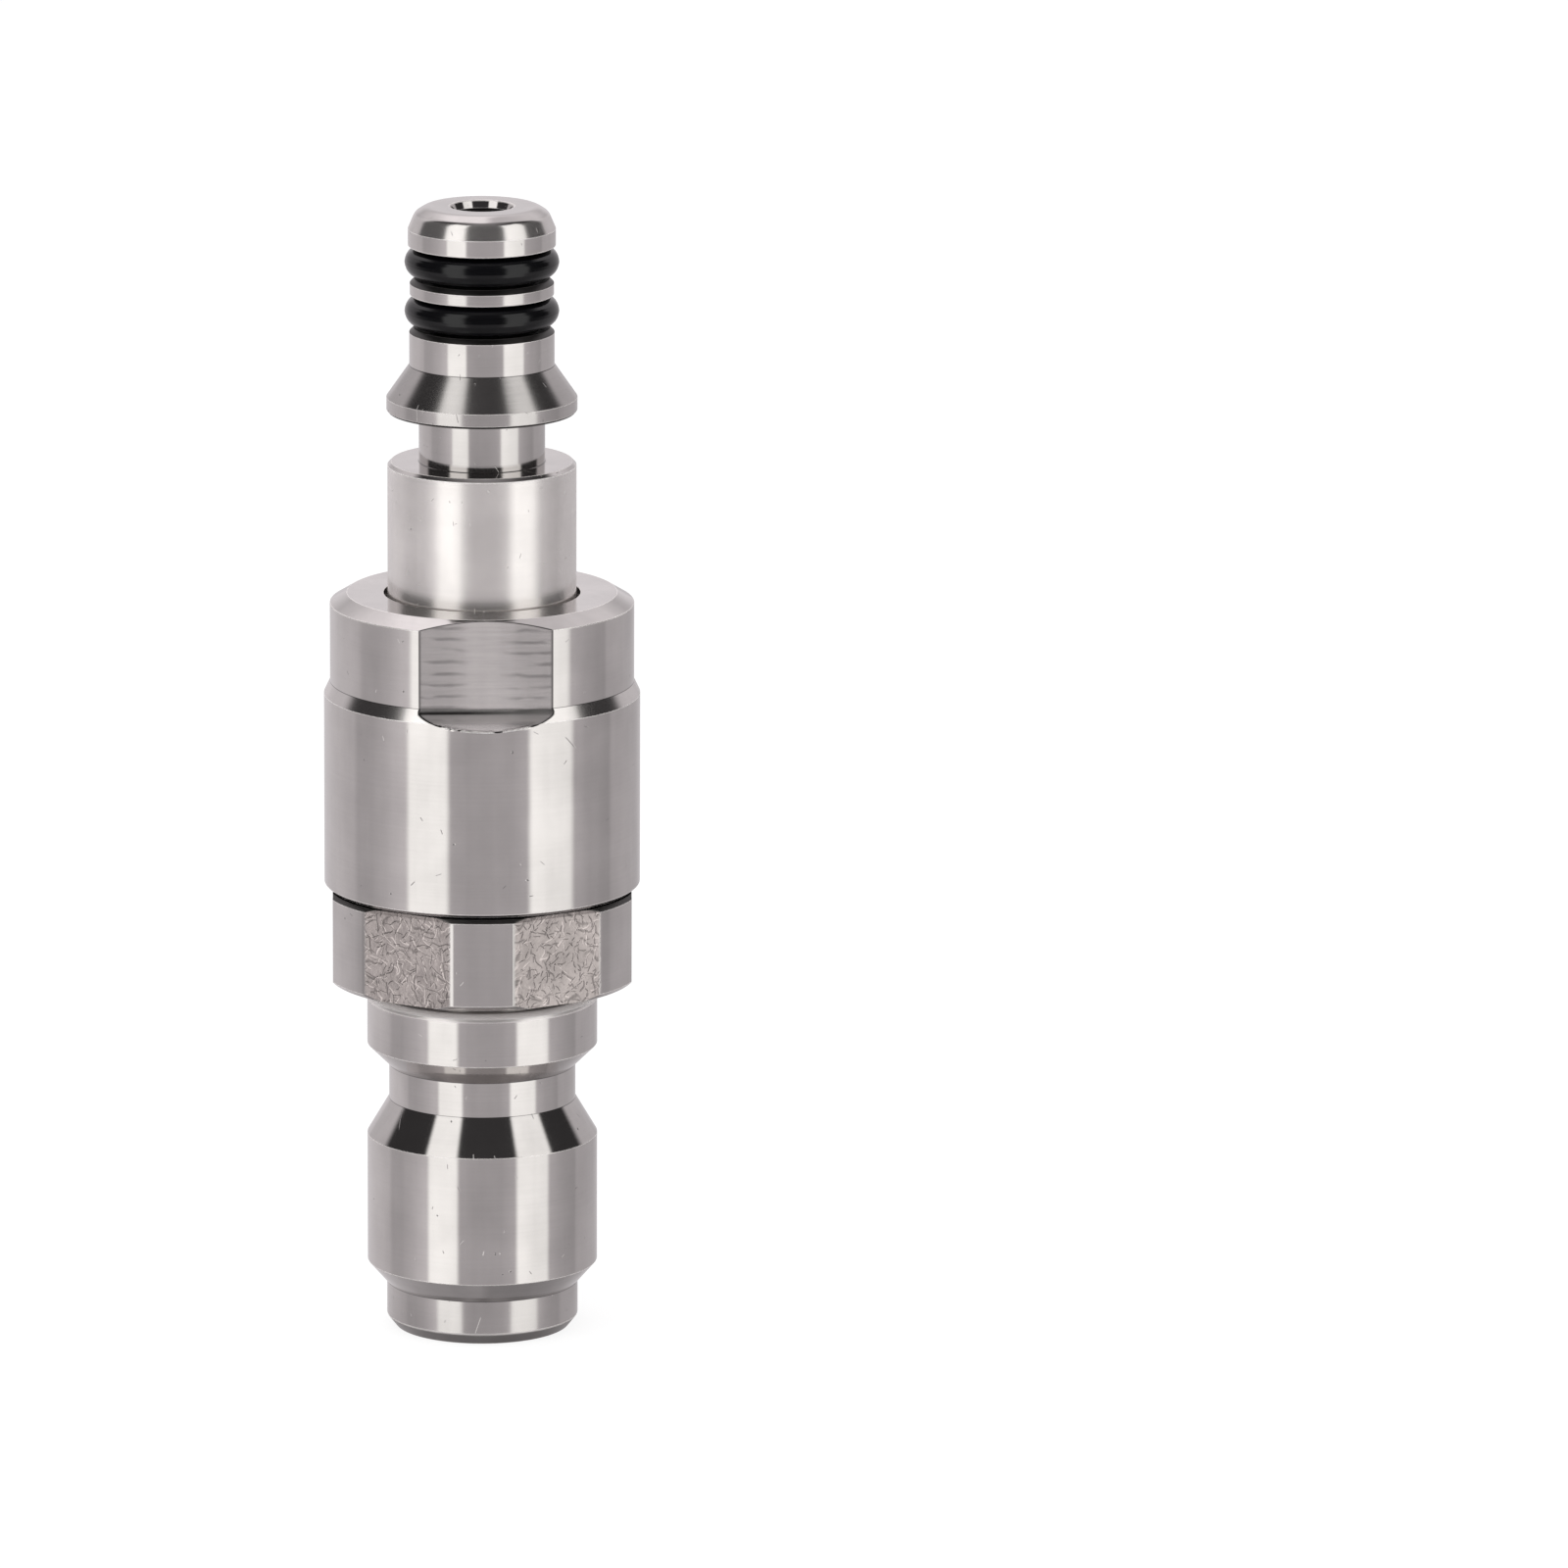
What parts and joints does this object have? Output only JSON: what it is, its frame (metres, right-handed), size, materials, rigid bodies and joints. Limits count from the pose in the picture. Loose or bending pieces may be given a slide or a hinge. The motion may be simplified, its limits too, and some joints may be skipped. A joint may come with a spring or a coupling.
{
  "type": "pressure washer swivel connector",
  "caption": "Stainless steel high-pressure swivel coupling: a quick plug turns on balls in a housing with wrench flats and a hexagonal gland nut, under an O-ring nipple.",
  "frame": {"origin": "centre of the quick plug's nose face, the lowest point of the part", "axes": "+Z along the waterway, from the plug's nose up to the nipple's tip; -Y out of the front wrench flat"},
  "size_m": [0.026, 0.026, 0.0942],
  "materials": {
    "turned_stainless": "turned",
    "bearing_steel": "polished",
    "black_rubber": "satin",
    "white_ptfe": "matt",
    "wiper_polyurethane": "matt",
    "bush_bronze": "machined",
    "washer_copper": "annealed"
  },
  "bodies": {
    "housing": {"swivel_body": "turned_stainless", "gland_nut": "turned_stainless", "inlet_nipple": "turned_stainless", "front_o_ring": "black_rubber", "rear_o_ring": "black_rubber", "port_washer": "washer_copper", "upper_backup_ring": "white_ptfe", "spindle_seal_ring": "black_rubber", "lower_backup_ring": "white_ptfe", "upper_race_ring": "bearing_steel", "lower_race_ring": "bearing_steel", "guide_bush": "bush_bronze", "dust_wiper": "wiper_polyurethane"},
    "plug": {"quick_plug": "turned_stainless"},
    "ball_row": {"ball_01": "bearing_steel", "ball_02": "bearing_steel", "ball_03": "bearing_steel", "ball_04": "bearing_steel", "ball_05": "bearing_steel", "ball_06": "bearing_steel", "ball_07": "bearing_steel", "ball_08": "bearing_steel", "ball_09": "bearing_steel", "ball_10": "bearing_steel", "ball_11": "bearing_steel", "ball_12": "bearing_steel", "ball_13": "bearing_steel"}
  },
  "joints": [
    {"name": "plug_swivel", "type": "hinge", "parent": "housing", "child": "plug", "pos_m": [0, 0, 0.0447], "axis": [0, 0, 1], "continuous": true},
    {"name": "ball_row_orbit", "type": "hinge", "parent": "housing", "child": "ball_row", "pos_m": [0, 0, 0.0447], "axis": [0, 0, 1], "continuous": true}
  ],
  "couplings": [
    {"joint": "ball_row_orbit", "follows": "plug_swivel", "ratio": 0.4171}
  ]
}
